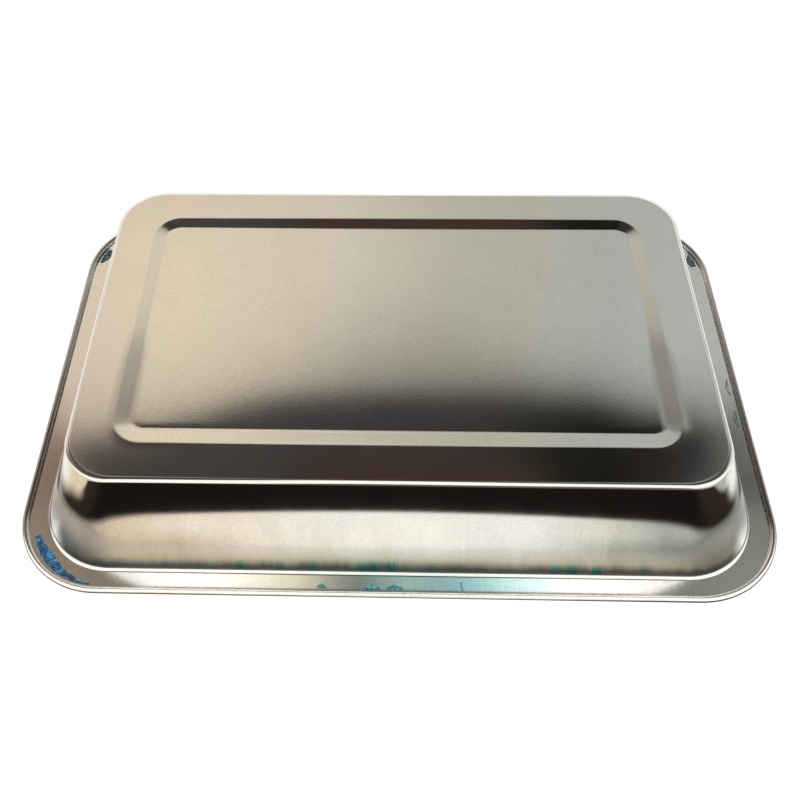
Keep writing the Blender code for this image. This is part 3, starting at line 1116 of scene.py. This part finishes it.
# ---------------------------------------------------------------------- wire
def make_wire():
    """Round wire hoop inside the bead, its two ends meeting behind."""
    inset, z = BEAD_OD / 2, HEIGHT - BEAD_OD / 2
    half_x, half_y, r = LENGTH / 2 - inset, WIDTH / 2 - inset, RIM_CORNER_R - inset
    path = [Vector((-0.0003, half_y, z))]
    for quarter, (sx, sy) in ((1, (-1, 1)), (2, (-1, -1)), (3, (1, -1)), (0, (1, 1))):
        for i in range(17):
            a = math.radians(90.0 * (quarter + i / 16))
            path.append(Vector((sx * (half_x - r) + r * math.cos(a), sy * (half_y - r) + r * math.sin(a), z)))
    path.append(Vector((0.0003, half_y, z)))
    curve = bpy.data.curves.new("wire_fine", "CURVE")
    curve.dimensions = "3D"
    curve.bevel_depth = WIRE_R
    curve.bevel_resolution = 4
    curve.use_fill_caps = True
    spline = curve.splines.new("POLY")
    spline.points.add(len(path) - 1)
    for point, co in zip(spline.points, path):
        point.co = (*co, 1.0)
    made = bpy.data.objects.new("wire_curve", curve)
    looks.objects.link(made)
    bpy.context.view_layer.update()
    graph = bpy.context.evaluated_depsgraph_get()
    mesh = bpy.data.meshes.new_from_object(made.evaluated_get(graph))
    bpy.data.objects.remove(made)
    bm = bmesh.new()
    bm.from_mesh(mesh)
    bmesh.ops.remove_doubles(bm, verts=bm.verts, dist=0.00001)
    bm.to_mesh(mesh)
    bm.free()
    mesh.shade_smooth()
    mesh.set_sharp_from_angle(angle=math.radians(50))
    mesh.materials.clear()
    mesh.materials.append(wire_steel)
    wire = bpy.data.objects.new("wire_fine", mesh)
    looks.objects.link(wire)
    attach(wire, "root")
    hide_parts("rim_wire")


make_wire()


# ---------------------------------------------------------------------- film
def rim_point(t, inset):
    """Point in plan on the rim: t metres round it from the middle of the -Y
    side towards +X, inset metres in from the bead's outside."""
    half_x, half_y, r = LENGTH / 2, WIDTH / 2, RIM_CORNER_R
    straight_x, straight_y, arc = half_x - r, half_y - r, math.pi / 2 * r
    t %= 4 * (straight_x + straight_y + arc)
    stretches = (
        ("line", straight_x, (0.0, -half_y), (1, 0)),
        ("arc", arc, (straight_x, -straight_y), -90),
        ("line", 2 * straight_y, (half_x, -straight_y), (0, 1)),
        ("arc", arc, (straight_x, straight_y), 0),
        ("line", 2 * straight_x, (straight_x, half_y), (-1, 0)),
        ("arc", arc, (-straight_x, straight_y), 90),
        ("line", 2 * straight_y, (-half_x, straight_y), (0, -1)),
        ("arc", arc, (-straight_x, -straight_y), 180),
        ("line", straight_x, (-straight_x, -half_y), (1, 0)),
    )
    for kind, length, start, way in stretches:
        if t <= length:
            break
        t -= length
    if kind == "line":
        return start[0] + way[0] * t - way[1] * inset, start[1] + way[1] * t + way[0] * inset
    a = math.radians(way) + t / r
    return start[0] + (r - inset) * math.cos(a), start[1] + (r - inset) * math.sin(a)


def between(stations, u):
    for first, second in zip(stations, stations[1:]):
        if u <= second[0]:
            k = (u - first[0]) / (second[0] - first[0])
            return [a + (b - a) * k for a, b in zip(first[1:], second[1:])]
    return list(stations[-1][1:])


def make_film(node, start, end, stations, look, lean=0.0, seed=0.0, lift=0.0006):
    """Crumpled strip of film under the flange: a fine grid between its ragged
    edges, creased and lifted away from the steel in places."""
    along = max(6, round(abs(end - start) / 0.35))
    across = 14 if stations[len(stations) // 2][2] - stations[len(stations) // 2][1] > 1.5 else 8
    bm = bmesh.new()
    rows = []
    for i in range(along + 1):
        u = i / along
        outer, inner = between(stations, u)
        ragged_o = 0.35 * noise.noise(Vector((u * 23 + seed, 1.7, seed)))
        ragged_i = 0.75 * noise.noise(Vector((u * 19 + seed, 9.1, seed)))
        width = inner - outer
        ragged = min(1.0, width / 2)
        row = []
        for k in range(across + 1):
            w = k / across
            inset = outer + ragged_o * ragged * (1 - w) + (width + ragged_i * ragged * w) * w
            t = start + (end - start) * u + lean * w
            x, y = rim_point(t / 1000, inset / 1000)
            p = Vector((x * 1000, y * 1000, seed))
            crease = abs(noise.noise(p * 0.55)) * 0.6 + abs(noise.noise(p * 1.5)) * 0.35
            curl = 0.25 * max(0.0, 1 - 6 * min(w, 1 - w)) * (0.5 + noise.noise(p * 0.3))
            z = HEIGHT - SHEET - FILM_GAP * 0.5 - lift * (crease + max(0.0, curl))
            row.append(bm.verts.new((x, y, z)))
        rows.append(row)
    for a, b in zip(rows, rows[1:]):
        for k in range(across):
            bm.faces.new((a[k], b[k], b[k + 1], a[k + 1]))
    bm.normal_update()
    for face in bm.faces:
        if face.normal.z > 0:
            face.normal_flip()
    mesh = bpy.data.meshes.new(node + "_fine")
    bm.to_mesh(mesh)
    bm.free()
    mesh.shade_smooth()
    mesh.materials.append(look)
    made = bpy.data.objects.new(node + "_fine", mesh)
    looks.objects.link(made)
    thick = made.modifiers.new("thickness", "SOLIDIFY")
    thick.thickness = FILM
    thick.offset = 1.0
    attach(made, "root")
    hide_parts(node)


corner = ((0.0, 4.9, 5.5), (0.25, 4.9, 7.2), (0.6, 4.9, 10.4), (0.85, 5.8, 9.8), (1.0, 6.2, 8.8))
flake = ((0.0, 5.0, 5.6), (0.5, 4.9, 7.4), (1.0, 5.0, 5.8))
thread = ((0.0, 5.0, 9.4), (1.0, 5.0, 9.4))
patch = ((0.0, 5.0, 6.2), (0.4, 4.9, 9.6), (1.0, 5.2, 8.6))
make_film("film_corner", 157.5, 208.0, corner, blue_film, seed=1.3, lift=0.0011)
make_film("film_front_1", 35.0, 40.0, flake, cyan_film, seed=2.1)
make_film("film_front_2", 8.0, 15.5, flake, cyan_film, seed=3.4)
make_film("film_front_3", -4.0, 4.5, flake, cyan_film, seed=4.9)
make_film("film_front_4", -34.4, -33.6, thread, cyan_film, lean=0.9, seed=5.2, lift=0.0002)
make_film("film_side_1", 939.0, 951.0, flake, faint_film, seed=6.6)
make_film("film_side_2", 961.0, 973.0, flake, faint_film, seed=7.7)
make_film("film_back_1", 410.0, 424.0, patch, teal_film, seed=8.8)
make_film("film_back_2", 836.0, 848.0, patch, teal_film, seed=9.3)

scene.view_settings.view_transform = "Standard"
scene.view_settings.look = "None"
scene.view_settings.exposure = 0.0
scene.view_settings.gamma = 1.0
